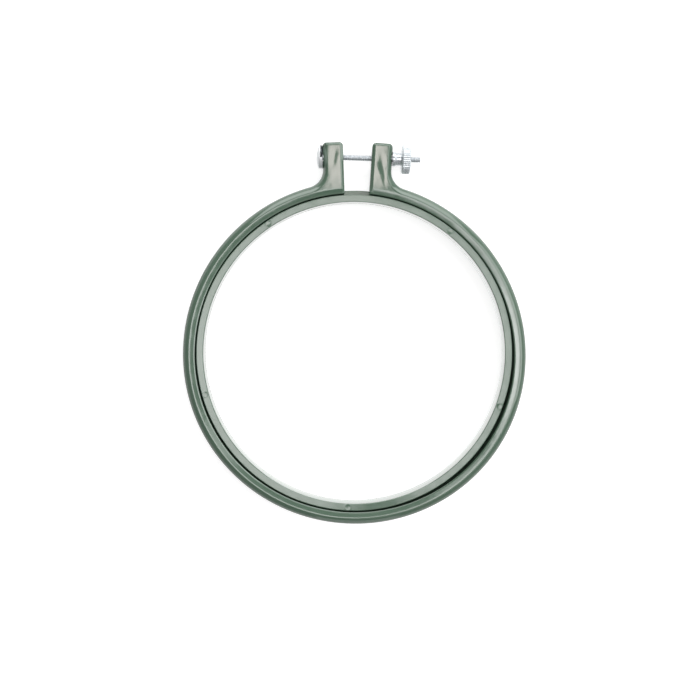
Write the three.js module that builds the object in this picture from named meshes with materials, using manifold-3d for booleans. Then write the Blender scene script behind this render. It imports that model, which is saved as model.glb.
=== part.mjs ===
// Round embroidery hoop: a split outer ring with two clamp lugs, an inner ring with a lip,
// and the screw and knurled thumb nut that draw the lugs together.
// Millimetres, +Z up. The hoop lies flat with its lugs towards +Y. While it is modelled, the
// outer ring's centre is at x = y = 0 and the underside of the inner ring's lip is at z = 0.
import * as THREE from 'three';
import { mergeVertices } from 'three/addons/utils/BufferGeometryUtils.js';
import Module from 'manifold-3d';

const wasm = await Module();
wasm.setup();

// Inner ring
const openingDiameter = 151.3; // clear opening of the hoop
const innerWall = 3.4; // radial thickness of the inner ring
const innerHeight = 9.0;
const innerEdgeRoll = 0.4; // rounding of the top edges
const lipReach = 2.65; // how far the lip stands out under the outer ring
const lipThickness = 1.3;
const lipEdgeRoll = 0.35;
const ejectorCount = 5; // round ejector pin marks on the top face
const ejectorDiameter = 3.1;
const ejectorDepth = 0.15;
const ejectorStart = 52.6; // angle of the first mark, in degrees
const innerDrift = new THREE.Vector2(-0.2, 0.3); // off the outer ring's centre, in the play

// Outer ring
const ringPlay = 0.9; // radial play between the rings while the clamp is slack
const lipSeat = 0.3; // height of the outer ring above the lip
const ringWidth = 6.3; // radial width of the section
const ringHeight = 7.8;
const crestWidth = 0.1; // flat left between the flank and the slope
const flankBand = 0.4; // flat band left at half height by the mould's parting line
const ridgeTurn = 30; // how far short of its top the flank's ellipse ends in a ridge, in degrees
const boreRoll = 2.7; // width of the shallow slope down to the bore
const springLobes = [ // how the sprung ring is out of round: order, cosine and sine parts
  [2, 0.08, -0.2],
  [3, 0, -0.27],
];

// Clamp lugs
const lugGap = 12.3; // distance between the lugs where they leave the ring
const lugWidth = 10.4;
const lugReach = 19.05; // how far the lugs stand out past the ring
const lugLean = 2.9; // outward lean of each lug, in degrees
const lugFillet = 9.0; // fillet from the ring up to the lug
const lugCorner = 1.8; // corner radius at the lug's end
const lugSideRoll = 2.6; // rounding of the side away from the gap
const lugEndRoll = 1.5; // slope at the end
const gapRoll = 1.7; // slope along the side that faces the gap
const gapCorner = 0.6; // corner between that side and the ring's bore
const slopeDepth = 1.1; // depth of the end's, the gap's and the bore's slopes
const wallRound = 0.6; // rounding where they meet their walls

// Clamp screw
const threadDiameter = 3.0;
const screwLength = 50.0; // under the head
const screwEndChamfer = 0.4;
const boltReach = 11.95; // from the ring's outer edge to the screw's axis
const boltTilt = -0.95; // the slack screw lies askew in its holes, in degrees
const holePlay = 0.7; // radial play of the screw in the lugs
const headDiameter = 11.6;
const headRim = 1.4; // thickness of the head at its rim
const headDome = 1.2; // rise of the dome above the rim
const headSeat = 0.35; // least distance from the head to its lug

// Thumb nut
const wheelDiameter = 14.4;
const wheelThickness = 4.2;
const wheelChamfer = 0.7;
const knurlCount = 44;
const knurlDepth = 0.35;
const collarLength = 4.4;
const beadDiameter = 7.2; // bead at the collar's free end
const beadLength = 1.3;
const waistDiameter = 6.3;
const rootDiameter = 7.5; // where the collar meets the wheel
const boreChamfer = 0.5;
const threadPlay = 0.15; // radial play of the nut's bore on the thread
const nutSeat = 0.3; // least distance from the collar to its lug

// Fineness of the curves
const ringStep = 4; // degrees
const rollSteps = 4; // rows in each edge of the outer ring's section, an even number
const roundSides = 32;

const openingRadius = openingDiameter / 2;
const innerRadius = openingRadius + innerWall;
const boreRadius = innerRadius + ringPlay;
const rimRadius = boreRadius + ringWidth;
const flankRoll = ringWidth - boreRoll - crestWidth;
const flankHeight = (ringHeight - flankBand) / 2;
const ringBottom = lipThickness + lipSeat;
const ringMiddle = ringBottom + ringHeight / 2;

const sage = { color: '#6f8777', roughness: 0.22, metalness: 0 };
const steel = { color: '#c9ccd1', roughness: 0.28, metalness: 1 };

function mesh(name, geometry, finish) {
  const piece = new THREE.Mesh(geometry, new THREE.MeshStandardMaterial(finish));
  piece.name = name;
  return piece;
}

// Turns a closed geometry into a solid that can be joined and cut.
function solid(geometry) {
  const bare = geometry.clone();
  bare.deleteAttribute('normal');
  bare.deleteAttribute('uv');
  const merged = mergeVertices(bare);
  const index = merged.index.array;
  const triangles = [];
  for (let i = 0; i < index.length; i += 3) {
    const [a, b, c] = [index[i], index[i + 1], index[i + 2]];
    if (a !== b && b !== c && c !== a) triangles.push(a, b, c);
  }
  return new wasm.Manifold(new wasm.Mesh({
    numProp: 3,
    vertProperties: new Float32Array(merged.attributes.position.array),
    triVerts: new Uint32Array(triangles),
  }));
}

function geometryOf(body) {
  const { numProp, vertProperties, triVerts } = body.getMesh();
  const positions = new Float32Array((vertProperties.length / numProp) * 3);
  for (let i = 0; i < positions.length / 3; i += 1) {
    positions.set(vertProperties.slice(i * numProp, i * numProp + 3), i * 3);
  }
  const geometry = new THREE.BufferGeometry();
  geometry.setAttribute('position', new THREE.BufferAttribute(positions, 3));
  geometry.setIndex(new THREE.BufferAttribute(new Uint32Array(triVerts), 1));
  geometry.computeVertexNormals();
  return geometry;
}

// Revolves a path of (radius, height) about +Z, or about +X for a turned part. Each of the
// path's arcs gets two facets for each unit of fineness.
function revolveUpright(path, sides, fineness = 1) {
  return new THREE.LatheGeometry(path.getPoints(fineness), sides).rotateX(Math.PI / 2);
}

function revolveLying(path, sides, fineness = 1) {
  return new THREE.LatheGeometry(path.getPoints(fineness), sides).rotateZ(-Math.PI / 2);
}

// Skins closed loops with equal point counts, listed from the bottom up, and caps both ends.
function skin(loops) {
  const count = loops[0].length;
  const index = [];
  for (let row = 0; row + 1 < loops.length; row += 1) {
    for (let i = 0; i < count; i += 1) {
      const next = (i + 1) % count;
      const [a, b] = [row * count + i, row * count + next];
      index.push(a, b, b + count, a, b + count, a + count);
    }
  }
  const topRow = (loops.length - 1) * count;
  for (const [row, loop, flip] of [[0, loops[0], true], [topRow, loops.at(-1), false]]) {
    for (const [a, b, c] of THREE.ShapeUtils.triangulateShape(loop, [])) {
      index.push(row + a, row + (flip ? c : b), row + (flip ? b : c));
    }
  }
  const geometry = new THREE.BufferGeometry().setFromPoints(loops.flat());
  geometry.setIndex(index);
  geometry.computeVertexNormals();
  return geometry;
}

// Points along an arc about a centre, both ends included, angles in radians.
function arc(centre, radius, from, to, steps) {
  return Array.from({ length: steps + 1 }, (_, i) => {
    const angle = from + ((to - from) * i) / steps;
    return new THREE.Vector2(
      centre.x + radius * Math.cos(angle),
      centre.y + radius * Math.sin(angle),
    );
  });
}

const lean = THREE.MathUtils.degToRad(lugLean);
const lugUp = new THREE.Vector2(Math.sin(lean), Math.cos(lean));
const lugAcross = new THREE.Vector2(Math.cos(lean), -Math.sin(lean));
const gapFoot = new THREE.Vector2(lugGap / 2, Math.sqrt(boreRadius ** 2 - (lugGap / 2) ** 2));

// A point of the right lug, from its distances across and up from the foot of its gap side.
function onLug(across, up) {
  return gapFoot.clone().addScaledVector(lugAcross, across).addScaledVector(lugUp, up);
}

// How far up the lug's own axis its middle line reaches a height y.
function riseTo(y) {
  return (y - onLug(lugWidth / 2, 0).y) / lugUp.y;
}

// How far up the lug's own axis a circle about the hoop's centre meets a line along the lug.
function riseToCircle(across, radius) {
  const start = onLug(across, 0);
  const along = start.dot(lugUp);
  return -along + Math.sqrt(along ** 2 - start.lengthSq() + radius ** 2);
}

// A row of the section of the flank, from 0 at the wall to rollSteps at the face, as a share
// of the flank's width moved in and a depth below the face: part of an ellipse.
function flankRow(row) {
  const cut = THREE.MathUtils.degToRad(ridgeTurn);
  const turn = THREE.MathUtils.lerp(Math.PI / 2, cut, row / rollSteps);
  return {
    share: (1 - Math.sin(turn)) / (1 - Math.sin(cut)),
    depth: flankHeight * (1 - Math.cos(turn) / Math.cos(cut)),
  };
}

// The same row of a slope, as (distance moved in, depth below the face): a small rounding over
// the wall, then a plane up to the face.
function slopeRow(width, row) {
  const half = rollSteps / 2;
  const pitch = Math.atan2(slopeDepth - wallRound, width - wallRound);
  const tilt = THREE.MathUtils.lerp(Math.PI / 2, pitch, Math.min(row / half, 1));
  const point = new THREE.Vector2(
    wallRound * (1 - Math.sin(tilt)), slopeDepth - wallRound * Math.cos(tilt),
  );
  return point.lerp(new THREE.Vector2(width, 0), Math.max(row / half - 1, 0));
}

// Moves a point out or in from the hoop's centre as the sprung ring is out of round there.
function sprung(point) {
  const shift = springLobes.reduce((sum, [order, cosine, sine]) => {
    const turn = order * Math.atan2(point.y, point.x);
    return sum + cosine * Math.cos(turn) + sine * Math.sin(turn);
  }, 0);
  return point.clone().multiplyScalar(1 + shift / point.length());
}

// Outline of the right lug, moved in by the section's insets, from the rim to the bore, as
// runs of points that belong to the flank, to a slope, or to the turn from one to the other.
function lugOutline(inset) {
  const side = lugWidth - inset.side;
  const top = riseTo(rimRadius + lugReach) - inset.end;
  const rim = rimRadius - inset.flank;
  const bore = boreRadius + inset.bore;
  const fillet = lugFillet + (inset.flank + inset.side) / 2;
  const endCorner = Math.max(lugCorner - (inset.side + inset.end) / 2, 0.1);
  const innerCorner = Math.max(lugCorner - (inset.end + inset.gap) / 2, 0.1);
  const footCorner = Math.max(gapCorner - (inset.gap + inset.bore) / 2, 0.05);

  const filletRise = riseToCircle(side + fillet, rim + fillet);
  const filletCentre = onLug(side + fillet, filletRise);
  const footRise = riseToCircle(inset.gap + footCorner, bore + footCorner);
  const footCentre = onLug(inset.gap + footCorner, footRise);
  const quarter = Math.PI / 2;
  const ringward = filletCentre.angle() - Math.PI;
  const boreward = footCentre.angle() - Math.PI;
  const runs = [
    [arc(filletCentre, fillet, ringward, -Math.PI - lean, 8), 'flank'],
    [arc(onLug(side - endCorner, top - endCorner), endCorner, -lean, quarter - lean, 4), 'turn'],
    [arc(onLug(inset.gap + innerCorner, top - innerCorner), innerCorner,
      quarter - lean, Math.PI - lean, 4), 'slope'],
    [arc(footCentre, footCorner, Math.PI - lean, 2 * Math.PI + boreward, 3), 'slope'],
  ];
  return { runs, rimAngle: ringward + Math.PI, boreAngle: boreward + Math.PI };
}

// One level of the outer ring: a row of its section, on the upper or the lower side.
function ringLevel(row, upper) {
  const flank = flankRow(row);
  const slope = slopeRow(boreRoll, row);
  const { runs, rimAngle, boreAngle } = lugOutline({
    flank: flankRoll * flank.share,
    side: lugSideRoll * flank.share,
    end: slopeRow(lugEndRoll, row).x,
    gap: slopeRow(gapRoll, row).x,
    bore: slope.x,
  });
  const place = (point, depth) => {
    const { x, y } = sprung(point);
    const level = ringHeight / 2 - depth;
    return new THREE.Vector3(x, y, ringMiddle + (upper ? level : -level));
  };
  const lug = (hand) => runs.flatMap(([points, kind]) => points.map((point, i) => {
    const share = kind === 'turn' ? i / (points.length - 1) : Number(kind === 'slope');
    const depth = THREE.MathUtils.lerp(flank.depth, slope.y, share);
    return place(new THREE.Vector2(hand * point.x, point.y), depth);
  }));
  const round = (radius, from, to, depth) => {
    const steps = 2 * Math.round(180 / ringStep);
    return arc(new THREE.Vector2(), radius, from, to, steps).slice(1, -1)
      .map((point) => place(point, depth));
  };
  return [
    ...round(rimRadius - flankRoll * flank.share, -Math.PI - rimAngle, rimAngle, flank.depth),
    ...lug(1),
    ...round(boreRadius + slope.x, boreAngle, -Math.PI - boreAngle, slope.y),
    ...lug(-1).reverse(),
  ];
}

const lugMiddle = onLug(lugWidth / 2, riseTo(rimRadius + boltReach)); // where the screw crosses

// The split ring and its lugs in one moulding: outlines stacked up the section, with a hole
// for the screw through each lug.
function outerRing() {
  const rows = Array.from({ length: rollSteps + 1 }, (_, i) => i);
  const levels = [
    ...rows.toReversed().map((row) => ringLevel(row, false)),
    ...rows.map((row) => ringLevel(row, true)),
  ];
  let ring = solid(skin(levels));
  const middle = sprung(lugMiddle);
  for (const hand of [-1, 1]) {
    const drill = new THREE.CylinderGeometry(
      threadDiameter / 2 + holePlay, threadDiameter / 2 + holePlay, lugWidth * 2, roundSides,
    );
    drill.rotateZ(Math.PI / 2 - hand * lean);
    drill.translate(hand * middle.x, middle.y, ringMiddle);
    ring = ring.subtract(solid(drill));
  }
  return mesh('outer_ring', geometryOf(ring), sage);
}

// The inner ring: a plain wall on a lip that passes under the outer ring.
function innerRing() {
  const lipRadius = innerRadius + lipReach;
  const quarter = Math.PI / 2;
  const top = innerHeight - innerEdgeRoll;
  const profile = new THREE.Path();
  profile.moveTo(openingRadius + lipEdgeRoll, 0);
  profile.lineTo(lipRadius - lipEdgeRoll, 0);
  profile.absarc(lipRadius - lipEdgeRoll, lipEdgeRoll, lipEdgeRoll, -quarter, 0);
  profile.absarc(lipRadius - lipEdgeRoll, lipThickness - lipEdgeRoll, lipEdgeRoll, 0, quarter);
  profile.absarc(innerRadius + lipEdgeRoll, lipThickness + lipEdgeRoll, lipEdgeRoll,
    -quarter, -Math.PI, true);
  profile.absarc(innerRadius - innerEdgeRoll, top, innerEdgeRoll, 0, quarter);
  profile.absarc(openingRadius + innerEdgeRoll, top, innerEdgeRoll, quarter, Math.PI);
  profile.absarc(openingRadius + lipEdgeRoll, lipEdgeRoll, lipEdgeRoll, Math.PI, 3 * quarter);

  let ring = solid(revolveUpright(profile, Math.round(360 / ringStep)));
  for (let i = 0; i < ejectorCount; i += 1) {
    const angle = THREE.MathUtils.degToRad(ejectorStart + (i * 360) / ejectorCount);
    const pin = new THREE.CylinderGeometry(
      ejectorDiameter / 2, ejectorDiameter / 2, 2 * ejectorDepth, roundSides / 2,
    );
    pin.rotateX(Math.PI / 2);
    const reach = (openingRadius + innerRadius) / 2;
    pin.translate(reach * Math.cos(angle), reach * Math.sin(angle), innerHeight);
    ring = ring.subtract(solid(pin));
  }
  const piece = mesh('inner_ring', geometryOf(ring), sage);
  piece.position.set(innerDrift.x, innerDrift.y, 0);
  return piece;
}

// The screw along +X from its domed head, with the head's seat at x = 0.
function clampScrew() {
  const shank = threadDiameter / 2;
  const head = headDiameter / 2;
  const dome = (head ** 2 + headDome ** 2) / (2 * headDome);
  const apex = -Math.PI / 2;
  const profile = new THREE.Path();
  profile.absarc(0, dome - headRim - headDome, dome, apex, apex + Math.asin(head / dome));
  profile.lineTo(head, 0);
  profile.lineTo(shank, 0);
  profile.lineTo(shank, screwLength - screwEndChamfer);
  profile.lineTo(shank - screwEndChamfer, screwLength);
  profile.lineTo(0, screwLength);
  return mesh('clamp_screw', geometryOf(solid(revolveLying(profile, roundSides, 2))), steel);
}

// A turned outline from its corners, each as (radius, distance along the axis).
function turned(corners) {
  return new THREE.Path(corners.map(([radius, along]) => new THREE.Vector2(radius, along)));
}

// The wheel's rim: a prism of straight knurls whose two edges are turned down to a chamfer.
function knurledWheel() {
  const tip = wheelDiameter / 2;
  const star = new THREE.Shape(Array.from({ length: 2 * knurlCount }, (_, i) => {
    const radius = i % 2 ? tip - knurlDepth : tip;
    const angle = (i * Math.PI) / knurlCount;
    return new THREE.Vector2(radius * Math.cos(angle), radius * Math.sin(angle));
  }));
  const prism = new THREE.ExtrudeGeometry(star, { depth: wheelThickness, bevelEnabled: false });
  const edge = tip - wheelChamfer;
  const blank = turned([
    [0, -1], [edge - 1, -1], [tip + 1, wheelChamfer + 1],
    [tip + 1, wheelThickness - wheelChamfer - 1], [edge - 1, wheelThickness + 1],
    [0, wheelThickness + 1],
  ]);
  return solid(prism.rotateY(Math.PI / 2)).intersect(solid(revolveLying(blank, 2 * roundSides)));
}

// The thumb nut along +X: a collar with a bead and a waist, then the knurled wheel.
function thumbNut() {
  const [bead, waist, root] = [beadDiameter / 2, waistDiameter / 2, rootDiameter / 2];
  const slope = (bead - waist) / 2;
  const collar = turned([
    [0, 0], [bead - slope, 0], [bead, slope], [bead, beadLength - slope],
    [waist, beadLength + slope], [waist, collarLength - (root - waist)],
    [root, collarLength], [root, collarLength + wheelChamfer], [0, collarLength + wheelChamfer],
  ]);
  const bore = threadDiameter / 2 + threadPlay;
  const mouth = bore + boreChamfer;
  const end = collarLength + wheelThickness;
  const drill = turned([
    [0, -1], [mouth + 1, -1], [bore, boreChamfer],
    [bore, end - boreChamfer], [mouth + 1, end + 1], [0, end + 1],
  ]);
  const nut = knurledWheel().translate([collarLength, 0, 0])
    .add(solid(revolveLying(collar, roundSides)))
    .subtract(solid(revolveLying(drill, roundSides)));
  return mesh('thumb_nut', geometryOf(nut), steel);
}

// The screw and nut on their common axis, which lies askew in the lugs' holes. Each is set
// back from its leaning lug until its rim just clears the lug's side.
function clamp() {
  const tilt = THREE.MathUtils.degToRad(boltTilt);
  const middle = sprung(lugMiddle);
  const lugFace = middle.x + lugWidth / 2 / Math.cos(lean);
  const axis = new THREE.Group();
  axis.position.set(0, middle.y, ringMiddle);
  axis.rotation.z = tilt;
  const screw = clampScrew();
  screw.position.x = -lugFace - headSeat - (headDiameter / 2) * Math.sin(lean - tilt);
  const nut = thumbNut();
  nut.position.x = lugFace + nutSeat + (beadDiameter / 2) * Math.sin(lean + tilt);
  axis.add(screw, nut);
  return axis;
}

// The origin is the middle of the part's box, on the surface that it lies on.
const hoop = new THREE.Group();
hoop.add(innerRing(), outerRing(), clamp());
hoop.updateMatrixWorld(true);
const box = new THREE.Box3().setFromObject(hoop, true);
const centre = box.getCenter(new THREE.Vector3());
hoop.position.set(-centre.x, -centre.y, -box.min.z);

export default hoop;
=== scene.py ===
"""Dresses the embroidery hoop: two moulded rings, a threaded screw and a knurled thumb nut."""
import math

import bmesh
import bpy
import numpy as np
from mathutils import Matrix, Vector
from mathutils.geometry import delaunay_2d_cdt

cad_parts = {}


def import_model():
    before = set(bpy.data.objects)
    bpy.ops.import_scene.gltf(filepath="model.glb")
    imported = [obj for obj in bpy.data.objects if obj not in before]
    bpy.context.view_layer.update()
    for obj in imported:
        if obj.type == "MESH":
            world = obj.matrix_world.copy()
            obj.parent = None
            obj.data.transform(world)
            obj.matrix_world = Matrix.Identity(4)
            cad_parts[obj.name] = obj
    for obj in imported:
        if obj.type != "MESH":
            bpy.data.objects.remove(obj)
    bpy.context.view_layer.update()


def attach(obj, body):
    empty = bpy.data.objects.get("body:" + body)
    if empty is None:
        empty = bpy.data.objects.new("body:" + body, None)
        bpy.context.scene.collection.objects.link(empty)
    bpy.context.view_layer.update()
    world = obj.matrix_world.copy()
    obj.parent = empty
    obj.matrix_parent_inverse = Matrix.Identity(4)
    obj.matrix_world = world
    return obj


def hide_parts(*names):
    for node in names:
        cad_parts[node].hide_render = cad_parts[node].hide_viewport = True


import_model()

MM = 0.001  # everything below is in millimetres until a mesh is made

# Places in the part's frame
CENTRE = np.array([0.0025, -9.894])  # the outer ring's centre
INNER_CENTRE = CENTRE + [-0.2, 0.3]  # the inner ring sits a little off it
UNDERSIDE = 1.7  # height of the lip's underside
BOLT_HEIGHT = 7.2

# Inner ring
OPENING_RADIUS = 75.5
INNER_RADIUS = 79.05  # of its outer wall
INNER_HEIGHT = 9.0
INNER_EDGE = 0.4  # rounding of the outer wall's top
OPENING_CHAMFER = 0.3
LIP_REACH = 3.1
LIP_THICKNESS = 1.3
LIP_EDGE = 0.35
FLAT_SUPPORT = 0.06  # a flat's last row lies this far inside it, to keep its shading flat
EJECTOR_COUNT = 5
EJECTOR_RADIUS = 1.5
EJECTOR_DEPTH = 0.03
EJECTOR_START = 52.6  # degrees round to the first mark
EJECTOR_WALL = (0.03, 0.12)  # how far in a mark's wall is half way down and at its foot
EJECTOR_FLASH = 0.01  # height of the raised line round a mark
EJECTOR_LINE = (0.05, 0.14, 0.16)  # its width at its top, at the face and below the face

# Outer ring
BORE_RADIUS = 79.95
RIM_RADIUS = 86.25
RING_BOTTOM = 1.6
RING_HEIGHT = 7.8
CREST_WIDTH = 0.1
FLANK_BAND = 0.4
FLANK_HEIGHT = (RING_HEIGHT - FLANK_BAND) / 2
BORE_ROLL = 2.7  # width of the shallow slope down to the bore
FLANK_ROLL = RIM_RADIUS - BORE_RADIUS - BORE_ROLL - CREST_WIDTH
RIDGE_TURN = math.radians(30)
RIDGE_ROUND = 1.3  # radius between the flank or the slope and the flat face
SPRING_LOBES = ((2, 0.08, -0.2), (3, 0.0, -0.27))  # order, cosine and sine parts
PARTING_RIDGE = 0.05  # flash left along the mould's parting line
PARTING_TOP = 0.03  # half its height at its top
PARTING_FOOT = 0.07  # and at its foot
RING_STEPS = 360

# Clamp lugs
LUG_GAP = 12.3
LUG_WIDTH = 10.4
LUG_REACH = 19.05
LUG_LEAN = math.radians(2.9)
LUG_FILLET = 9.0
LUG_CORNER = 1.8
SIDE_ROLL = 2.4  # width of the rounding of the side away from the gap
END_ROLL = 1.5
GAP_ROLL = 1.7  # width of the slope along the side that faces the gap
GAP_CORNER = 0.6
SLOPE_DEPTH = 1.1
WALL_ROUND = 0.6  # small rounding between a wall and the slope above it
BEVEL_WIDTH = 0.45  # the narrow bevel round the bore
BEVEL_TILT = math.radians(30)
BEVEL_ROUND = 0.2
BEVEL_SUPPORT = 0.08  # from the bevel's end to the plane's first row
BORE_PITCH = math.radians(13.9)
HOLE_RADIUS = 2.2
DRILL_REACH = 10  # half the length of the tool that cuts a hole

# Marks in the lugs' faces: shift and slant across the lug, half width, place down it from
# the screw, half length and depth
RIGHT_SINK = (0.4, 0.2, 1.2, 5.5, 3.0, 0.07)  # where the thick lug shrank as it cooled
LEFT_SINK = (0.6, 0.15, 1.0, -0.5, 2.8, 0.028)
FLOW_LINE = (1.9, 0.25, 0.4, 13.0, 2.0, 0.006)  # below the right sink mark
RIPPLE_DEPTH = 0.002
RELIEF_FADE = 1.0  # distance from a face's edge over which its marks fade out
NET_SPACING = 0.45  # of the points over the lugs' faces
NET_BOX = ((-30, 30), (76, 107))  # holds both lugs' faces, from the outer ring's centre

# Clamp screw
THREAD_RADIUS = 1.5
THREAD_PITCH = 0.5
THREAD_DEPTH = 0.29
THREAD_LEAD = 0.4  # length and depth of the taper at the thread's end
THREAD_FORM = ((0.0, 0), (0.12, 0), (0.44, 1), (0.56, 1), (0.88, 0))  # share of pitch, height
THREAD_SIDES = 32
SCREW_LENGTH = 49.7
HEAD_RADIUS = 5.8
HEAD_RIM = 1.4
HEAD_DOME = 1.2
HEAD_BROW = 0.25  # how far inside the rim the dome's curve ends
HEAD_EDGE = 0.3  # rounding between the dome and the rim
HEAD_FOOT = 0.2  # rounding of the rim next to the lug
HEAD_ROW = 0.85  # height of a row of points in the rim
NECK_RADIUS = 1.45
NECK_ROUND = 0.3  # fillet under the head
NECK_LENGTH = 0.9
CORE_ROOM = 0.02  # the shank's core stays this far inside the thread
CORE_TAPER = 0.3  # length of its taper at each end
CORE_TIP = 0.23  # how much the taper at the tip narrows it
BOLT_REACH = 11.95  # how far out of the rim the screw crosses the lugs
BOLT_TILT = math.radians(-0.95)
HEAD_SEAT = 0.05  # room between the head and its lug
SHADE_FAR = 1.3  # how far out the band of painted shade on the head's rim goes over its far half
SHADE_NEAR = 0.55  # and over its near half
SHADE_SPLIT = -0.6  # where the halves meet
SHADE_WIDTH = 0.7  # how far in from the rim it goes on the underside
SHADE_SHIFT = 0.3  # how far beyond the axis its circle's centre is

# Thumb nut
WHEEL_RADIUS = 7.2
WHEEL_THICKNESS = 4.2
WHEEL_CHAMFER = 0.5
WHEEL_EASE = (0.15, 0.04)  # width and depth of the softened edge inside the chamfer
WHEEL_MARGIN = 0.8  # from a face to the rim's first row
KNURL_COUNT = 44
KNURL_STEPS = 10  # points round one knurl
KNURL_DEPTH = 0.25
KNURL_SHAPE = 0.6  # less than 1 makes the knurls rounder than their grooves
COLLAR_LENGTH = 4.65
BEAD_RADIUS = 3.6
BEAD_LENGTH = 1.5
BEAD_BULGE = 0.1
BEAD_EDGE = 0.35  # how far inside the bead its end face stops
WAIST_RADIUS = 3.15
WAIST_FILLET = 0.3
ROOT_RADIUS = 3.75
ROOT_FILLET = 0.6
NUT_BORE = 1.65
NUT_LEAD = 0.4  # chamfer of the bore at the collar
NUT_MOUTH = 0.5  # and at the wheel
NUT_FACE = 1.6  # from the bore to the row that keeps the wheel's face flat
NUT_SEAT = 0.05  # room between the collar and its lug

SHARP = 35  # degrees: sharper edges aren't smoothed
THREAD_SHARP = 25
KNURL_SHARP = 30

# Camera and picture
PHOTO_WIDTH = 700  # pixels
CAMERA_FOOT = (-12.96, 12.31)  # where it looks straight down, in millimetres
CAMERA_HEIGHT = 440.7
CAMERA_SHIFT = (20.7, -41.4)  # pixels
CAMERA_ROLL = math.radians(0.9)
LENS = 44.23


# Meshes

def new_object(name, vertices, faces, sharp=SHARP):
    """A mesh object from millimetres, smooth but for the edges sharper than that many degrees."""
    mesh = bpy.data.meshes.new(name)
    mesh.from_pydata((np.asarray(vertices) * MM).tolist(), [], faces)
    tidy(mesh)
    return finish_object(name, mesh, sharp)


def tidy(mesh):
    """Joins the doubled points, drops the faces without area and turns all faces outward."""
    work = bmesh.new()
    work.from_mesh(mesh)
    bmesh.ops.remove_doubles(work, verts=work.verts, dist=1e-7)
    bmesh.ops.dissolve_degenerate(work, edges=work.edges, dist=1e-8)
    bmesh.ops.recalc_face_normals(work, faces=work.faces)
    work.to_mesh(mesh)
    work.free()


def finish_object(name, mesh, sharp):
    """Shades a mesh and links it as an object."""
    mesh.shade_smooth()
    mesh.set_sharp_from_angle(angle=math.radians(sharp))
    piece = bpy.data.objects.new(name, mesh)
    bpy.context.scene.collection.objects.link(piece)
    return piece


def combine(piece, tool, operation):
    """Cuts the tool out of the piece, or joins it on, and removes the tool."""
    change = piece.modifiers.new("combine", "BOOLEAN")
    change.operation = operation
    change.object = tool
    change.solver = "EXACT"
    bpy.context.view_layer.update()
    depsgraph = bpy.context.evaluated_depsgraph_get()
    result = bpy.data.meshes.new_from_object(piece.evaluated_get(depsgraph))
    piece.modifiers.clear()
    piece.data = result
    bpy.data.objects.remove(tool)


def quads(rows, columns, closed=False):
    """The faces between the rows of a grid whose columns go right round. Closed, its last row
    is joined to the first."""
    faces = []
    for row in range(rows if closed else rows - 1):
        above = (row + 1) % rows
        for i in range(columns):
            after = (i + 1) % columns
            faces.append((row * columns + i, row * columns + after,
                          above * columns + after, above * columns + i))
    return faces


def revolved(profile, sides):
    """Vertices and faces of a profile of (radius, height) turned about the vertical. The
    profile is closed, or starts and ends on the axis."""
    turns = np.linspace(0, 2 * math.pi, sides, endpoint=False)
    radius, height = np.asarray(profile, float).T
    vertices = np.stack([
        np.outer(radius, np.cos(turns)), np.outer(radius, np.sin(turns)),
        np.repeat(height[:, None], sides, axis=1),
    ], axis=-1).reshape(-1, 3)
    return vertices, quads(len(profile), sides, closed=radius[0] > 0)


def corner(centre, radius, start, end, steps):
    """Points of an arc in a profile, angles in degrees."""
    angles = np.radians(np.linspace(start, end, steps + 1))
    return [(centre[0] + radius * math.cos(a), centre[1] + radius * math.sin(a)) for a in angles]


def placed(vertices, origin, axis_turn=None):
    """Moves vertices that were made about the vertical. With a turn, their axis is first laid
    along +X and turned by it."""
    points = np.asarray(vertices, float)
    if axis_turn is not None:
        points = points[:, [2, 0, 1]]
        turn = np.array([
            [math.cos(axis_turn), -math.sin(axis_turn), 0],
            [math.sin(axis_turn), math.cos(axis_turn), 0], [0, 0, 1],
        ])
        points = points @ turn.T
    return points + np.asarray(origin, float)


# The outer ring's outline and section. Its flank and its slopes have 16 rows each, so that
# their loops can be joined.

UP = np.array([math.sin(LUG_LEAN), math.cos(LUG_LEAN)])
ACROSS = np.array([math.cos(LUG_LEAN), -math.sin(LUG_LEAN)])
GAP_FOOT = np.array([LUG_GAP / 2, math.sqrt(BORE_RADIUS ** 2 - (LUG_GAP / 2) ** 2)])


def on_lug(across, up):
    """A point of the right lug, that far across it from the gap and up it from the bore."""
    return GAP_FOOT + ACROSS * across + UP * up


def rise_to(y):
    """How far up the lug's middle line is that far beyond the ring's centre."""
    return (y - on_lug(LUG_WIDTH / 2, 0)[1]) / UP[1]


def rise_to_circle(across, radius):
    """How far up a line along the lug meets a circle round the ring's centre."""
    start = on_lug(across, 0)
    along = start @ UP
    return -along + math.sqrt(along ** 2 - start @ start + radius ** 2)


def arc(centre, radius, start, end, steps):
    """Points of an arc in the outline, angles in radians."""
    angles = np.linspace(start, end, steps + 1)
    return np.stack([
        centre[0] + radius * np.cos(angles), centre[1] + radius * np.sin(angles),
    ], axis=-1)


LUG_MIDDLE = on_lug(LUG_WIDTH / 2, rise_to(RIM_RADIUS + BOLT_REACH))  # where the screw crosses


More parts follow.
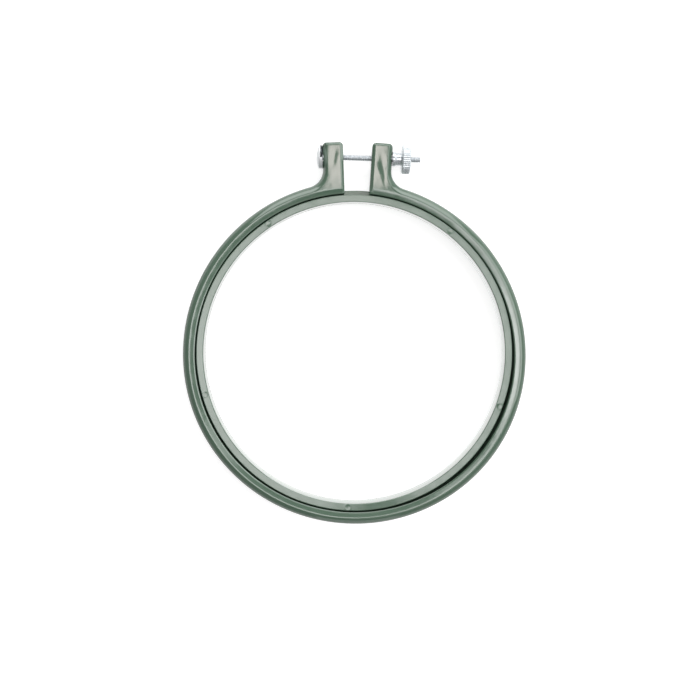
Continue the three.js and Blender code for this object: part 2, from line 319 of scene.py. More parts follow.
def flank_rows():
    """The flank's rows from the wall to the face, as shares of its width moved in and depths
    below the face: part of an ellipse, then the ridge's rounding."""
    rise = FLANK_HEIGHT / math.cos(RIDGE_TURN)
    run = FLANK_ROLL / (1 - math.sin(RIDGE_TURN))
    ridge = math.atan(rise / run * math.tan(RIDGE_TURN))
    width = FLANK_ROLL - RIDGE_ROUND * math.sin(ridge)
    height = FLANK_HEIGHT - RIDGE_ROUND * (1 - math.cos(ridge))
    turn = np.linspace(math.pi / 2, RIDGE_TURN, 11)
    inset = width * (1 - np.sin(turn)) / (1 - math.sin(RIDGE_TURN))
    depth = FLANK_HEIGHT - height * np.cos(turn) / math.cos(RIDGE_TURN)
    tilt = np.linspace(ridge, 0, 6)[1:]
    inset = np.append(inset, FLANK_ROLL - RIDGE_ROUND * np.sin(tilt))
    depth = np.append(depth, RIDGE_ROUND * (1 - np.cos(tilt)))
    return inset / FLANK_ROLL, depth


def over_wall(radius, depth, tilt, count):
    """Rows of a rounding from a wall that deep below the face to a slope of that tilt."""
    turn = np.linspace(math.pi / 2, tilt, count)
    return np.stack([radius * (1 - np.sin(turn)), depth - radius * np.cos(turn)], axis=-1)


def into_face(width, tilt):
    """Rows of the rounding from a slope of that width and tilt into the face."""
    turn = np.linspace(tilt, 0, 7)
    return np.stack([
        width - RIDGE_ROUND * np.sin(turn), RIDGE_ROUND * (1 - np.cos(turn)),
    ], axis=-1)


def slope_rows(width):
    """A slope's rows, as distances moved in and depths below the face: the small rounding
    over the wall, a row on the plane, and the rounding into the face."""
    pitch = math.atan2(SLOPE_DEPTH - WALL_ROUND, width - WALL_ROUND)
    low, high = over_wall(WALL_ROUND, SLOPE_DEPTH, pitch, 8), into_face(width, pitch)
    return np.concatenate([low, [(low[-1] + high[0]) / 2], high])


def bore_rows():
    """The rows over the bore's wall: a tight rounding and a bevel before the plane."""
    high = into_face(BORE_ROLL, BORE_PITCH)
    end = BEVEL_ROUND * (1 - math.sin(BEVEL_TILT)) + BEVEL_WIDTH
    ends = np.array([end, end + BEVEL_SUPPORT, (end + BEVEL_SUPPORT + high[0, 0]) / 2])
    plane = np.stack([ends, high[0, 1] + (high[0, 0] - ends) * math.tan(BORE_PITCH)], axis=-1)
    foot = plane[0, 1] + BEVEL_WIDTH * math.tan(BEVEL_TILT) + BEVEL_ROUND * math.cos(BEVEL_TILT)
    return np.concatenate([over_wall(BEVEL_ROUND, foot, BEVEL_TILT, 6), plane, high])


def sprung(points):
    """Moves points out or in from the hoop's centre as the sprung ring is out of round."""
    points = np.asarray(points, float)
    angle = np.arctan2(points[..., 1], points[..., 0])
    shift = sum(c * np.cos(n * angle) + s * np.sin(n * angle) for n, c, s in SPRING_LOBES)
    return points * (1 + shift / np.linalg.norm(points, axis=-1))[..., None]


def outline(inset):
    """The right lug's runs of points for a set of insets, and the angles where the rim and
    the bore take over."""
    side = LUG_WIDTH - inset["side"]
    top = rise_to(RIM_RADIUS + LUG_REACH) - inset["end"]
    rim = RIM_RADIUS - inset["flank"]
    bore = BORE_RADIUS + inset["bore"]
    fillet = LUG_FILLET + (inset["flank"] + inset["side"]) / 2
    end_corner = max(LUG_CORNER - (inset["side"] + inset["end"]) / 2, 0.1)
    inner_corner = max(LUG_CORNER - (inset["end"] + inset["gap"]) / 2, 0.1)
    foot_corner = max(GAP_CORNER - (inset["gap"] + inset["bore"]) / 2, 0.05)
    fillet_centre = on_lug(side + fillet, rise_to_circle(side + fillet, rim + fillet))
    foot_centre = on_lug(
        inset["gap"] + foot_corner,
        rise_to_circle(inset["gap"] + foot_corner, bore + foot_corner),
    )
    rim_angle = math.atan2(fillet_centre[1], fillet_centre[0])
    bore_angle = math.atan2(foot_centre[1], foot_centre[0])
    quarter = math.pi / 2
    runs = [
        arc(fillet_centre, fillet, rim_angle - math.pi, -math.pi - LUG_LEAN, 36),
        arc(on_lug(side - end_corner, top - end_corner), end_corner,
            -LUG_LEAN, quarter - LUG_LEAN, 10),
        arc(on_lug(inset["gap"] + inner_corner, top - inner_corner), inner_corner,
            quarter - LUG_LEAN, math.pi - LUG_LEAN, 10),
        arc(foot_centre, foot_corner, math.pi - LUG_LEAN, math.pi + bore_angle, 8),
    ]
    return runs, rim_angle, bore_angle


def ring_loop(row, extra=0.0):
    """One closed loop of the outer ring with each point's depth below the face."""
    share, flank_depth = (column[row] for column in FLANK)
    inset = {
        "flank": share * FLANK_ROLL - extra,
        "side": share * SIDE_ROLL - extra,
        "end": SLOPES["end"][row, 0] - extra,
        "gap": SLOPES["gap"][row, 0] - extra,
        "bore": SLOPES["bore"][row, 0] - extra,
    }
    runs, rim_angle, bore_angle = outline(inset)
    end, gap, bore = (SLOPES[kind][row, 1] for kind in ("end", "gap", "bore"))
    depths = [
        np.full(len(runs[0]), flank_depth),
        np.linspace(flank_depth, end, len(runs[1])),
        np.linspace(end, gap, len(runs[2])),
        np.linspace(gap, bore, len(runs[3])),
    ]
    right, right_depth = np.concatenate(runs), np.concatenate(depths)
    left = (right * [-1, 1])[::-1]
    origin = np.zeros(2)
    rim = arc(origin, RIM_RADIUS - inset["flank"], -math.pi - rim_angle, rim_angle,
              RING_STEPS)[1:-1]
    inner = arc(origin, BORE_RADIUS + inset["bore"], bore_angle, -math.pi - bore_angle,
                RING_STEPS)[1:-1]
    depth = np.concatenate([
        np.full(len(rim), flank_depth), right_depth,
        np.full(len(inner), bore), right_depth[::-1],
    ])
    return sprung(np.concatenate([rim, right, inner, left])), depth


FLANK = flank_rows()
SLOPES = {"end": slope_rows(END_ROLL), "gap": slope_rows(GAP_ROLL), "bore": bore_rows()}


def inside(points, loop):
    """For each point, whether it lies inside the loop, and how far from it."""
    start, end = loop, np.roll(loop, -1, axis=0)
    within = np.zeros(len(points), bool)
    near = np.full(len(points), np.inf)
    for a, b in zip(start, end):
        crosses = (a[1] > points[:, 1]) != (b[1] > points[:, 1])
        if crosses.any():
            x = a[0] + (points[:, 1] - a[1]) * (b[0] - a[0]) / (b[1] - a[1] or 1e-12)
            within ^= crosses & (points[:, 0] < x)
        along = b - a
        share = np.clip((points - a) @ along / max(along @ along, 1e-12), 0, 1)
        near = np.minimum(near, np.linalg.norm(points - a - share[:, None] * along, axis=1))
    return within, near


def mark(x, y, shift, slant, width, down, length, depth):
    """The depth of one long soft mark in a lug's face."""
    return depth * np.exp(-(((x + shift + slant * y) / width) ** 2
                            + ((y + down) / length) ** 2) / 2)


def lug_relief(points, near):
    """How far the lugs' faces lie below flat: their marks and faint ripples."""
    right = points[:, 0] > 0
    x, y = np.abs(points[:, 0]) - LUG_MIDDLE[0], points[:, 1] - LUG_MIDDLE[1]
    marks = np.where(right, mark(x, y, *RIGHT_SINK) + mark(x, y, *FLOW_LINE),
                     mark(x, y, *LEFT_SINK))
    ripple = RIPPLE_DEPTH * np.sin(1.7 * x + 0.3 * y + 2 * right) * np.sin(0.5 * y + right)
    fade = np.clip(near / RELIEF_FADE, 0, 1)
    return (marks + ripple) * fade * fade * (3 - 2 * fade)


def cap(loop):
    """Triangles over a closed loop, with a net of points over the lugs' faces: the triangles,
    the net's points and their depths."""
    xs, ys = (np.arange(low, high, NET_SPACING) for low, high in NET_BOX)
    net = np.stack(np.meshgrid(xs, ys), axis=-1).reshape(-1, 2)
    net[:, 0] += NET_SPACING / 2 * (np.round(net[:, 1] / NET_SPACING) % 2)
    within, near = inside(net, loop)
    keep = within & (near > NET_SPACING * 0.6)
    net, near = net[keep], near[keep]
    count = len(loop)
    rim = [(i, (i + 1) % count) for i in range(count)]
    _, _, faces, origins, _, _ = delaunay_2d_cdt(
        [Vector(p) for p in np.concatenate([loop, net])], rim, [], 1, 1e-6,
    )
    old = [sources[0] if sources else -1 for sources in origins]
    return [[old[i] for i in face] for face in faces], net, lug_relief(net, near)


def outer_ring():
    """The split ring with its lugs: loops stacked up the section, capped and drilled."""
    rows = len(FLANK[0])
    middle = UNDERSIDE + RING_BOTTOM + RING_HEIGHT / 2
    half = RING_HEIGHT / 2
    levels = []
    for row in reversed(range(rows)):
        points, depth = ring_loop(row)
        levels.append((points, middle - half + depth))
    ridge, _ = ring_loop(0, PARTING_RIDGE)
    plain, _ = ring_loop(0)
    for points, height in ((plain, -PARTING_FOOT), (ridge, -PARTING_TOP),
                           (ridge, PARTING_TOP), (plain, PARTING_FOOT)):
        levels.append((points, np.full(len(points), middle + height)))
    for row in range(rows):
        points, depth = ring_loop(row)
        levels.append((points, middle + half - depth))
    count = len(levels[0][0])
    vertices = np.concatenate([
        np.column_stack([points + CENTRE, height]) for points, height in levels
    ])
    faces = quads(len(levels), count)
    for row, face_height, sink in ((0, middle - half, 1), (len(levels) - 1, middle + half, -1)):
        triangles, net, relief = cap(levels[row][0])
        base = len(vertices)
        for triangle in triangles:
            faces.append(tuple(row * count + i if i < count else base + i - count
                               for i in triangle))
        vertices = np.concatenate([vertices, np.column_stack([
            net + CENTRE, face_height + sink * relief,
        ])])
    ring = new_object("outer_ring_moulding", vertices, faces)
    profile = [(0, -DRILL_REACH), (HOLE_RADIUS, -DRILL_REACH),
               (HOLE_RADIUS, DRILL_REACH), (0, DRILL_REACH)]
    for hand in (-1, 1):
        points, drill = revolved(profile, 48)
        points = placed(points, (*(CROSSING * [hand, 1] + CENTRE), BOLT_HEIGHT),
                        -hand * LUG_LEAN)
        combine(ring, new_object("drill", points, drill), "DIFFERENCE")
    ring.data.set_sharp_from_angle(angle=math.radians(SHARP))
    return ring


def inner_ring():
    """The lipped ring, with five ejector pin marks in its top face."""
    lip = INNER_RADIUS + LIP_REACH
    top = INNER_HEIGHT - INNER_EDGE
    profile = [
        *corner((OPENING_RADIUS + LIP_EDGE, LIP_EDGE), LIP_EDGE, 180, 270, 5),
        *corner((lip - LIP_EDGE, LIP_EDGE), LIP_EDGE, -90, 0, 5),
        *corner((lip - LIP_EDGE, LIP_THICKNESS - LIP_EDGE), LIP_EDGE, 0, 90, 5),
        (lip - LIP_EDGE - FLAT_SUPPORT, LIP_THICKNESS),
        (INNER_RADIUS + LIP_EDGE + FLAT_SUPPORT, LIP_THICKNESS),
        *corner((INNER_RADIUS + LIP_EDGE, LIP_THICKNESS + LIP_EDGE), LIP_EDGE, 270, 180, 5),
        *corner((INNER_RADIUS - INNER_EDGE, top), INNER_EDGE, 0, 90, 9),
        (INNER_RADIUS - INNER_EDGE - FLAT_SUPPORT, INNER_HEIGHT),
        (OPENING_RADIUS + OPENING_CHAMFER, INNER_HEIGHT),
        (OPENING_RADIUS, INNER_HEIGHT - OPENING_CHAMFER),
    ]
    points, faces = revolved(profile, RING_STEPS)
    ring = new_object("inner_ring_moulding", placed(points, (*INNER_CENTRE, UNDERSIDE)), faces)
    face = UNDERSIDE + INNER_HEIGHT
    reach = (OPENING_RADIUS + INNER_RADIUS) / 2
    edge, low, high = EJECTOR_RADIUS, -0.3, 0.5  # the tools' ends, well in and out of the ring
    crest, foot, root = EJECTOR_LINE
    rim = [
        (edge - 0.02, low), (edge + root, low), (edge + foot, 0.0),
        (edge + crest, EJECTOR_FLASH), (edge, EJECTOR_FLASH),
    ]
    slope, bottom = EJECTOR_WALL
    pit = [
        (0, -EJECTOR_DEPTH), (edge - bottom, -EJECTOR_DEPTH), (edge - slope, -EJECTOR_DEPTH / 2),
        (edge, EJECTOR_FLASH / 2), (edge, high), (0, high),
    ]
    for shape, operation in ((rim, "UNION"), (pit, "DIFFERENCE")):
        vertices, tool_faces = [], []
        for i in range(EJECTOR_COUNT):
            angle = math.radians(EJECTOR_START + i * 360 / EJECTOR_COUNT)
            points, faces = revolved(shape, 64)
            points = placed(points, (
                INNER_CENTRE[0] + reach * math.cos(angle),
                INNER_CENTRE[1] + reach * math.sin(angle), face,
            ))
            base = sum(len(v) for v in vertices)
            vertices.append(points)
            tool_faces += [tuple(base + k for k in f) for f in faces]
        combine(ring, new_object("pins", np.concatenate(vertices), tool_faces), operation)
    ring.data.set_sharp_from_angle(angle=math.radians(SHARP))
    return ring


CROSSING = sprung(LUG_MIDDLE)
BOLT_CENTRE = np.array([CENTRE[0], CROSSING[1] + CENTRE[1], BOLT_HEIGHT])  # in the gap's middle
LUG_FACE = CROSSING[0] + LUG_WIDTH / 2 / math.cos(LUG_LEAN)  # from there to a lug's outer side


def on_bolt(points, seat):
    """Lays points made about the vertical along the screw's axis, that far from its centre."""
    axis = np.array([math.cos(BOLT_TILT), math.sin(BOLT_TILT), 0])
    return placed(points, BOLT_CENTRE + axis * seat, BOLT_TILT)


def threaded_shank(start, end):
    """A helical strip between two distances along +Z, its ends cut square."""
    sides, shift = THREAD_SIDES, len(THREAD_FORM)
    turns = int((end - start) / THREAD_PITCH) + 3
    rows = turns * shift
    vertices = np.zeros((rows, sides, 3))
    for k in range(rows):
        turn, step = divmod(k, shift)
        share, high = THREAD_FORM[step]
        for i in range(sides):
            angle = 2 * math.pi * i / sides
            height = start + THREAD_PITCH * (turn - 1 + share + i / sides)
            radius = THREAD_RADIUS - THREAD_DEPTH * (1 - high)
            ease = min(max((end - height) / THREAD_LEAD, 0), 1)
            radius = min(radius, THREAD_RADIUS - THREAD_LEAD * (1 - ease))
            height = min(max(height, start), end)
            vertices[k, i] = (radius * math.cos(angle), radius * math.sin(angle), height)
    faces = []
    for k in range(rows - 1):
        for i in range(sides):
            if i + 1 < sides:
                faces.append((k * sides + i, k * sides + i + 1,
                              (k + 1) * sides + i + 1, (k + 1) * sides + i))
            elif k + 1 + shift < rows:
                faces.append((k * sides + i, (k + shift) * sides,
                              (k + 1 + shift) * sides, (k + 1) * sides + i))
    return vertices.reshape(-1, 3), faces


def close_ends(mesh):
    """Fills the open ends of a shank and turns its faces outward."""
    work = bmesh.new()
    work.from_mesh(mesh)
    bmesh.ops.holes_fill(work, edges=work.edges, sides=0)
    bmesh.ops.recalc_face_normals(work, faces=work.faces)
    work.to_mesh(mesh)
    work.free()


def clamp_screw():
    """The screw: a low domed head on a shank threaded to its end."""
    seat = -LUG_FACE - HEAD_SEAT - HEAD_RADIUS * math.sin(LUG_LEAN - BOLT_TILT)
    dome = (HEAD_RADIUS ** 2 + HEAD_DOME ** 2) / (2 * HEAD_DOME)
    apex = dome - HEAD_RIM - HEAD_DOME
    sweep = math.degrees(math.asin((HEAD_RADIUS - HEAD_BROW) / dome))
    neck = NECK_RADIUS + NECK_ROUND
    core = THREAD_RADIUS - THREAD_DEPTH - CORE_ROOM
    tip = SCREW_LENGTH - CORE_ROOM
    profile = [
        (0, apex - dome), *corner((0, apex), dome, -90, -90 + sweep, 16)[1:],
        *corner((HEAD_RADIUS - HEAD_EDGE, HEAD_BROW - HEAD_RIM), HEAD_EDGE, -50, 0, 4),
        (HEAD_RADIUS, -HEAD_ROW),
        *corner((HEAD_RADIUS - HEAD_FOOT, -HEAD_FOOT), HEAD_FOOT, 0, 90, 3),
        (neck, 0), *corner((neck, NECK_ROUND), NECK_ROUND, 270, 180, 4)[1:],
        (NECK_RADIUS, NECK_LENGTH), (core, NECK_LENGTH + CORE_TAPER),
        (core, SCREW_LENGTH - CORE_TAPER), (core - CORE_TIP, tip), (0, tip),
    ]
    points, faces = revolved(profile, 64)
    # The underside is slanted, because the lug leans to the head
    under = (points[:, 2] > -HEAD_FOOT - 0.1) & (points[:, 2] < 0.05)
    points[under, 2] += (HEAD_RADIUS - points[under, 0]) * math.tan(LUG_LEAN - BOLT_TILT)
    screw = new_object("head", on_bolt(points, seat), faces)
    points, faces = threaded_shank(NECK_LENGTH, SCREW_LENGTH)
    thread = new_object("thread", on_bolt(points, seat), faces, THREAD_SHARP)
    close_ends(thread.data)
    work = bmesh.new()
    work.from_mesh(screw.data)
    work.from_mesh(thread.data)
    mesh = bpy.data.meshes.new("clamp_screw_threaded")
    work.to_mesh(mesh)
    work.free()
    for part in (screw, thread):
        bpy.data.objects.remove(part)
    return finish_object("clamp_screw_threaded", mesh, THREAD_SHARP)


def thumb_nut():
    """The nut: a turned collar with a bead and a waist, and a wheel with rounded knurls."""
    seat = LUG_FACE + NUT_SEAT + BEAD_RADIUS * math.sin(LUG_LEAN + BOLT_TILT)
    end = COLLAR_LENGTH + WHEEL_THICKNESS
    tip, chamfer = WHEEL_RADIUS, WHEEL_CHAMFER
    shoulder = tip - chamfer
    width, depth = WHEEL_EASE
    bead = BEAD_LENGTH / 2
    bulge = (bead ** 2 + BEAD_BULGE ** 2) / (2 * BEAD_BULGE)
    half = math.degrees(math.asin(bead / bulge))
    profile = [
        (NUT_BORE + NUT_LEAD, 0), (BEAD_RADIUS - BEAD_EDGE, 0),
        *corner((BEAD_RADIUS - bulge, bead), bulge, -half, half, 8),
        *corner((WAIST_RADIUS + WAIST_FILLET, BEAD_LENGTH + WAIST_FILLET + 0.02), WAIST_FILLET,
                240, 180, 4),
        (WAIST_RADIUS, (BEAD_LENGTH + COLLAR_LENGTH) / 2),
        *corner((ROOT_RADIUS, COLLAR_LENGTH - ROOT_FILLET), ROOT_FILLET, 180, 90, 6),
        (shoulder - width, COLLAR_LENGTH),
        *[(shoulder + t * chamfer, COLLAR_LENGTH + depth + t * (chamfer - depth))
          for t in np.linspace(0, 1, 4)],
        *[(tip, COLLAR_LENGTH + z)
          for z in np.linspace(WHEEL_MARGIN, WHEEL_THICKNESS - WHEEL_MARGIN, 5)],
        *[(tip - t * chamfer, end - chamfer + t * (chamfer - depth))
          for t in np.linspace(0, 1, 4)],
        (shoulder - width, end), (NUT_BORE + NUT_FACE, end), (NUT_BORE + NUT_MOUTH, end),
        (NUT_BORE, end - NUT_MOUTH), (NUT_BORE, NUT_LEAD),
    ]
    sides = KNURL_COUNT * KNURL_STEPS
    points, faces = revolved(profile, sides)
    grid = points.reshape(len(profile), sides, 3)
    radius = np.linalg.norm(grid[..., :2], axis=-1)
    wave = 0.5 + 0.5 * np.cos(np.arange(sides) * 2 * math.pi / KNURL_STEPS)
    groove = 1 - wave ** KNURL_SHAPE
    cut = np.maximum(radius - (tip - KNURL_DEPTH), 0)
    grid[..., :2] *= (1 - cut * groove / radius)[..., None]
    return new_object("thumb_nut_knurled", on_bolt(points, seat), faces, KNURL_SHARP)


# Materials

SAGE_COLOURS = ((0.074, 0.122, 0.086), (0.084, 0.135, 0.096))
# painted shade: darker colours for the walls across the gap between the rings
GAP_SHADE_COLOURS = ((0.045, 0.08, 0.053), (0.05, 0.09, 0.06))
PLASTIC_IOR = 1.53
RIPPLES = 0.000035  # heights of the bumps, in metres
PEEL = 0.0000018
TURNING = 0.000004


def nodes_of(name):
    """A new material, its node tree and its shader."""
    material = bpy.data.materials.new(name)
    material.use_nodes = True
    tree = material.node_tree
    return material, tree, tree.nodes["Principled BSDF"]


def add(tree, kind, settings=None, **inputs):
    """A node with its settings and inputs. An input is a value or an output to link."""
    node = tree.nodes.new(kind)
    for key, value in (settings or {}).items():
        setattr(node, key, value)
    for key, value in inputs.items():
        socket = node.inputs[int(key[1:]) if key[0] == "i" and key[1:].isdigit()
                             else key.replace("_", " ")]
        if isinstance(value, bpy.types.NodeSocket):
            tree.links.new(value, socket)
        else:
            socket.default_value = value
    return node


def noise(tree, vector, scale, detail, roughness=0.5):
    """Noise with that many cells a metre."""
    return add(tree, "ShaderNodeTexNoise", Vector=vector, Scale=scale, Detail=detail,
               Roughness=roughness).outputs["Fac"]


def map_range(tree, value, start, end, low, high):
    """Maps start..end to low..high, and what is outside to its ends."""
    return add(tree, "ShaderNodeMapRange", Value=value, From_Min=start, From_Max=end,
               To_Min=low, To_Max=high).outputs["Result"]


def spread(tree, value, low, high):
    """Maps a noise's middle range to low..high."""
    return map_range(tree, value, 0.3, 0.7, low, high)


def clouded(tree, shader, value, dark, light):
    """Lets the base colour drift between two colours with a noise."""
    colour = add(tree, "ShaderNodeMix", {"data_type": "RGBA"},
                 i0=spread(tree, value, 0.0, 1.0), i6=(*dark, 1), i7=(*light, 1))
    tree.links.new(colour.outputs[2], shader.inputs["Base Color"])


def maths(tree, operation, *values, **settings):
    """The result of a Math node."""
    inputs = {f"i{i}": value for i, value in enumerate(values)}
    return add(tree, "ShaderNodeMath", {"operation": operation, **settings}, **inputs).outputs[0]


def vector_maths(tree, operation, output, *values):
    """That output of a Vector Math node."""
    inputs = {f"i{i}": value for i, value in enumerate(values)}
    return add(tree, "ShaderNodeVectorMath", {"operation": operation}, **inputs).outputs[output]


def bump(tree, height, distance, **under):
    """Bumps of that many metres, over another normal where one is given."""
    return add(tree, "ShaderNodeBump", Height=height, Distance=distance, Strength=1.0,
               **under).outputs["Normal"]


def plastic(name, gloss, dark, light, rough, turned=False):
    """Sage plastic of that specular level: slight colour drift, a mould's long ripples, fine
    peel and rubs, and if turned the concentric marks of a turned mould face."""
    material, tree, shader = nodes_of(name)
    place = add(tree, "ShaderNodeTexCoord").outputs["Object"]
    clouded(tree, shader, noise(tree, place, 45.0, 3.0), dark, light)
    rubs = noise(tree, place, 260.0, 4.0, 0.6)
    tree.links.new(spread(tree, rubs, *rough), shader.inputs["Roughness"])
    normal = bump(tree, noise(tree, place, 130.0, 1.0), RIPPLES)
    normal = bump(tree, noise(tree, place, 1400.0, 2.0), PEEL, Normal=normal)
    if turned:
        centred = vector_maths(tree, "SUBTRACT", 0, place, (*(INNER_CENTRE * MM), 0))
        flat = vector_maths(tree, "MULTIPLY", 0, centred, (1, 1, 0))
        reach = vector_maths(tree, "LENGTH", "Value", flat)
        rings = add(tree, "ShaderNodeTexNoise", {"noise_dimensions": "1D"},
                    W=reach, Scale=2600.0, Detail=2.0).outputs["Fac"]
        normal = bump(tree, rings, TURNING, Normal=normal)
    tree.links.new(normal, shader.inputs["Normal"])
    shader.inputs["IOR"].default_value = PLASTIC_IOR
    shader.inputs["Specular IOR Level"].default_value = gloss
    return material


def steel(name, dark, light, rough=(0.2, 0.32), metallic=0.6):
    """Plated steel with turning lines round its axis, clouded between two colours. The zinc's
    whitish bloom is the part of it that isn't metallic."""
    material, tree, shader = nodes_of(name)
    place = add(tree, "ShaderNodeTexCoord").outputs["Object"]
    lines = add(tree, "ShaderNodeMapping", Vector=place, Scale=(9000.0, 300.0, 300.0))
    turned = noise(tree, lines.outputs[0], 1.0, 2.0)
    clouded(tree, shader, noise(tree, place, 700.0, 3.0), dark, light)
    tree.links.new(spread(tree, turned, *rough), shader.inputs["Roughness"])
    tree.links.new(bump(tree, turned, TURNING), shader.inputs["Normal"])
    shader.inputs["Metallic"].default_value = metallic
    return material


# Pieces

SAGE = plastic("sage_plastic", 0.95, *SAGE_COLOURS, (0.05, 0.1))
SAGE_TURNED = plastic("sage_plastic_turned", 0.88, *SAGE_COLOURS, (0.08, 0.15), turned=True)
# painted shade: a copy of the turned plastic with less sheen for the lip
SAGE_LIP_SHADE = plastic("sage_plastic_lip_shade", 0.5, *SAGE_COLOURS, (0.08, 0.15), turned=True)
SAGE_GAP_SHADE = plastic("sage_plastic_gap_shade", 0.15, *GAP_SHADE_COLOURS, (0.5, 0.65))  # matte, and darker to paint the shade on the walls across the gap between the rings
STEEL = steel("plated_steel", (0.52, 0.555, 0.58), (0.62, 0.65, 0.67))
# painted shade: a near-black copy of the plated steel for the head's rim next to the lug
STEEL_PAINTED_SHADE = steel("plated_steel_painted_shade", (0.01, 0.012, 0.012), (0.07, 0.08, 0.085), metallic=1.0)
STEEL_BRIGHT = steel("plated_steel_bright", (0.56, 0.6, 0.625), (0.66, 0.7, 0.725))
# painted highlight: a paler copy of the plated steel for the screw's head
STEEL_PAINTED_HIGHLIGHT = steel("plated_steel_painted_highlight", (0.7, 0.725, 0.74), (0.78, 0.8, 0.81), (0.4, 0.5))


# Which of its piece's materials a face gets

def outer_shade_choice(face):
    """1 for a face of the outer ring on its bore's wall, a darker copy that paints the shade in
    the gap between the rings, 0 for any other.
    """
    away = np.array(face.center[:2]) / MM - CENTRE
    reach = np.linalg.norm(away)
    inward = -(face.normal.xy @ Vector(away / reach))
    return int(reach < BORE_RADIUS + 1 and inward > 0.8)


def inner_shade_choice(face):
    """1 for a face of the inner ring on its outer wall, away from the lugs' gap, or in the corner
    over its lip, a darker copy that paints the shade in the gap between the rings, 2 for one on
    the rest of the lip, a copy with less sheen that paints its shade, 0 for any other."""
    x, y = np.array(face.center[:2]) / MM - INNER_CENTRE
    reach = math.hypot(x, y)
    if reach < INNER_RADIUS - 0.05:
        return 0
    in_gap = abs(x) < LUG_GAP / 2 + 0.5 and y > 0
    if reach < BORE_RADIUS + 0.3 and face.normal.z > -0.5 and not in_gap:
        return 1
    return 2 if face.center[2] / MM < UNDERSIDE + LIP_THICKNESS + LIP_EDGE else 0


def screw_shade_choice(face):
    """0 for a face of the screw's shank, 1 for one on its head's rim next to the lug, a
    near-black copy that paints the shade there (a wide band over the far half and the edge alone
    over the near half), 2 for the rest of the head, a paler copy that paints a highlight."""
    x, y, z = np.array(face.center) / MM - BOLT_CENTRE
    out = -LUG_FACE - HEAD_SEAT - x  # how far it is from the lug
    if out < -0.1:
        return 0
    on_rim = math.hypot(y - SHADE_SHIFT, z) > HEAD_RADIUS - SHADE_WIDTH
    return 1 if on_rim and out < (SHADE_FAR if y > SHADE_SPLIT else SHADE_NEAR) else 2


for build, node, slot, materials, choose in (
    (outer_ring, "outer_ring", "ring_plastic", (SAGE, SAGE_GAP_SHADE), outer_shade_choice),
    (inner_ring, "inner_ring", "ring_plastic", (SAGE_TURNED, SAGE_GAP_SHADE, SAGE_LIP_SHADE),
     inner_shade_choice),
    (clamp_screw, "clamp_screw", "plated_steel", (STEEL, STEEL_PAINTED_SHADE, STEEL_PAINTED_HIGHLIGHT),
     screw_shade_choice),
    (thumb_nut, "thumb_nut", "plated_steel", (STEEL_BRIGHT,), None),
):
    piece = build()
    piece.data.materials.clear()
    for material in materials:
        piece.data.materials.append(material)
    for face in piece.data.polygons if choose else ():
        face.material_index = choose(face)
    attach(piece, node)
    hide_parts(node)


# Stage

def bare(owner):
    """The cleared node tree of a material or world."""
    owner.use_nodes = True
    owner.node_tree.nodes.clear()
    return owner.node_tree


def sheet(name, size, centre, scale=(1, 1)):
    """A flat piece of the stage, in metres, and its material's bare node tree."""
    bpy.ops.mesh.primitive_plane_add(size=size, location=centre)
    plane = bpy.context.object
    plane.name = name
    plane.scale = (*scale, 1)
    material = bpy.data.materials.new(name)
    plane.data.materials.append(material)
    return plane, bare(material)


def floor():
    """A matte white table. To the camera it is just white, and in reflections it is brighter
    inside the hoop and beyond the lugs, where the photograph shows it overexposed."""
    plane, tree = sheet("floor", 8, (0, 0, 0))
    path = add(tree, "ShaderNodeLightPath").outputs
    place = add(tree, "ShaderNodeNewGeometry").outputs["Position"]
    centred = vector_maths(tree, "SUBTRACT", 0, place, (*(CENTRE * MM), 0))
    reach = vector_maths(tree, "LENGTH", "Value", centred)
    middle = map_range(tree, reach, 0.076, 0.083, 1.0, 0.0)  # fades out under the rings
    to_lugs = add(tree, "ShaderNodeSeparateXYZ", Vector=place).outputs["Y"]
    beyond = map_range(tree, to_lugs, 0.045, 0.08, 0.0, 0.4)
    slant = vector_maths(tree, "DOT_PRODUCT", "Value", place, (2.9, -1.6, 0))
    lopsided = maths(tree, "ADD", slant, 0.95)  # brighter at the right and the near side
    within = maths(tree, "MULTIPLY", middle, lopsided)
    pool = maths(tree, "MAXIMUM", within, beyond)
    # painted light: the table glows a little to every ray and more in reflections, a pool of
    # light inside the hoop and beyond the lugs
    mirrored = maths(tree, "MULTIPLY", path["Is Glossy Ray"], pool)
    straight = maths(tree, "MULTIPLY_ADD", path["Is Camera Ray"], 0.45, 0.25)
    extra = maths(tree, "ADD", mirrored, straight)
    matte = add(tree, "ShaderNodeBsdfDiffuse", Color=(0.5, 0.5, 0.5, 1))
    glow = add(tree, "ShaderNodeEmission", Color=(1, 1, 1, 1), Strength=extra)
    both = add(tree, "ShaderNodeAddShader", i0=matte.outputs[0], i1=glow.outputs[0])
    add(tree, "ShaderNodeOutputMaterial", Surface=both.outputs[0])


def flag(name, centre, size):
    """A small black card that shades a part of the lights above it from the hoop."""
    card, tree = sheet(name, 1, centre, size)
    card.visible_camera = False
    black = add(tree, "ShaderNodeBsdfDiffuse", Color=(0.01, 0.01, 0.01, 1))
    add(tree, "ShaderNodeOutputMaterial", Surface=black.outputs[0])


def soft_light(name, place, aim, size, radiance, shape="RECTANGLE", glossy=True,
               colour=(1, 1, 1)):
    """A flat soft light, in metres, facing a point. It doesn't show to the camera."""
    light = bpy.data.lights.new(name, "AREA")
    light.shape = shape
    light.size, light.size_y = size
    area = size[0] * size[1] * (math.pi / 4 if shape == "ELLIPSE" else 1)
    light.energy = 4 * radiance * area
    light.color = colour
    lamp = bpy.data.objects.new(name, light)
    aimed = (Vector(aim) - Vector(place)).to_track_quat("-Z", "Y").to_matrix().to_4x4()
    lamp.matrix_world = Matrix.Translation(place) @ aimed
    lamp.visible_camera = False
    lamp.visible_glossy = glossy
    bpy.context.scene.collection.objects.link(lamp)


def box_above(name, x, y, z, size, radiance, **settings):
    """A soft light that faces straight down."""
    soft_light(name, (x, y, z), (x, y, 0), size, radiance, **settings)


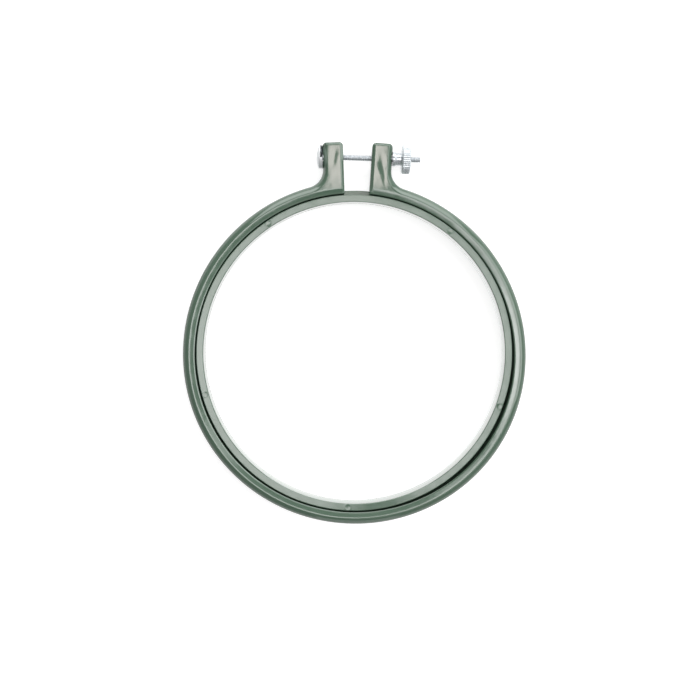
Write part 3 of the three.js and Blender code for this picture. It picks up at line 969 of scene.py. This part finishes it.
def world():
    """A white backdrop for the camera. The light that it gives is a bright band half way up,
    most of all to the right, and a paler horizon beyond the lugs."""
    shade = bpy.data.worlds.new("studio")
    bpy.context.scene.world = shade
    tree = bare(shade)
    way = add(tree, "ShaderNodeTexCoord").outputs["Generated"]
    parts = add(tree, "ShaderNodeSeparateXYZ", Vector=way).outputs
    side = maths(tree, "MULTIPLY_ADD", parts["X"], 1.2, 0.2, use_clamp=True)
    band = add(tree, "ShaderNodeValToRGB", Fac=parts["Z"])
    ramp = band.color_ramp
    steps = ((0.6, 0), (0.68, 1.4), (0.86, 1.4), (0.91, 0))  # height of the way, brightness
    ramp.elements[0].position, ramp.elements[1].position = steps[0][0], steps[-1][0]
    for place, _ in steps[1:-1]:
        ramp.elements.new(place)
    for element, (_, grey) in zip(ramp.elements, steps):
        element.color = (grey, grey, grey, 1)
    belt = maths(tree, "MULTIPLY", band.outputs["Color"], side)
    low = map_range(tree, parts["Z"], 0.0, 0.35, 1.0, 0.0)
    far = map_range(tree, parts["Y"], -0.3, 0.9, 0.25, 0.7)
    level = maths(tree, "ADD", belt, maths(tree, "MULTIPLY_ADD", low, far, 0.12))
    path = add(tree, "ShaderNodeLightPath").outputs
    strength = add(tree, "ShaderNodeMix", {"data_type": "RGBA"},
                   i0=path["Is Camera Ray"], i6=level, i7=(1, 1, 1, 1))
    glow = add(tree, "ShaderNodeBackground", Color=strength.outputs[2])
    add(tree, "ShaderNodeOutputWorld", Surface=glow.outputs[0])


floor()
world()
box_above("overhead", 0.025, -0.135, 2.01, (1.05, 0.97), 3.0, shape="ELLIPSE",
          colour=(1.0, 0.98, 0.98))
box_above("left_box", -0.545, -0.15, 1.99, (0.25, 0.56), 2.2)
box_above("far_left", -0.31, 0.33, 2.01, (0.24, 0.14), 1.2, shape="ELLIPSE")
box_above("right_box", 0.5, 0.18, 2.01, (0.14, 0.16), 1.4)
soft_light("near_wall", (0.1, -1.9, 0.36), (0, 0, 0), (0.9, 0.5), 0.5)
box_above("lug_box", 0.0205, 0.211, 0.7, (0.08, 0.078), 4.2, colour=(1.0, 0.89, 0.87))
soft_light("right_wall", (1.37, 0.25, 1.25), (0, 0, 0), (1.8, 1.3), 1.8)
soft_light("far_wall", (0.1, 1.6, 0.95), (0, 0, 0), (2.6, 1.3), 2.2)
box_above("fill", 0, 0, 1.8, (2, 2), 0.2, glossy=False)
flag("flag", (0.119, -0.5, 1.9), (0.14, 0.24))
flag("low_flag", (0.32, -0.585, 1.9), (0.21, 0.14))

# Camera: straight above a point a little left of and beyond the hoop's middle
camera_data = bpy.data.cameras.new("camera")
camera_data.sensor_width = 36.0
camera_data.lens = LENS
camera_data.shift_x, camera_data.shift_y = (shift / PHOTO_WIDTH for shift in CAMERA_SHIFT)
camera_data.clip_start, camera_data.clip_end = 0.01, 20.0
camera = bpy.data.objects.new("camera", camera_data)
camera.location = (*(foot * MM for foot in CAMERA_FOOT), CAMERA_HEIGHT * MM)
camera.rotation_euler = (0, 0, CAMERA_ROLL)
bpy.context.scene.collection.objects.link(camera)
bpy.context.scene.camera = camera
bpy.context.scene.view_settings.view_transform = "Standard"
